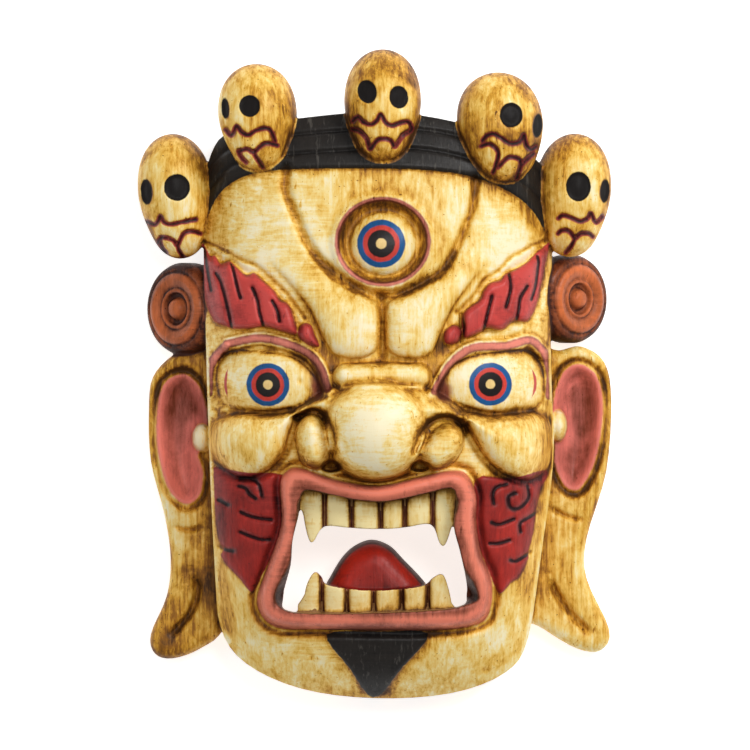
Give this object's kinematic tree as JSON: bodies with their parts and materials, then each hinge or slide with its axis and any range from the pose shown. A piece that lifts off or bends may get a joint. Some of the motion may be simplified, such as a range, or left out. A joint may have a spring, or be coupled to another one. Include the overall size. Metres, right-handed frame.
{
  "type": "tibetan cham mask",
  "caption": "Carved and painted wooden dance mask of a wrathful three-eyed deity with a crown of skulls, open fanged mouth and long ears, hollow behind.",
  "frame": {"origin": "middle of the mask's length and width, on the plane of its flat back rim", "axes": "+Z out of the face, away from the back rim; +Y towards the crown of skulls; +X to the onlooker's right"},
  "size_m": [0.292, 0.398, 0.131],
  "materials": {
    "painted_wood": "painted and varnished, worn"
  },
  "bodies": {
    "root": {"mask": "painted_wood"}
  },
  "joints": []
}
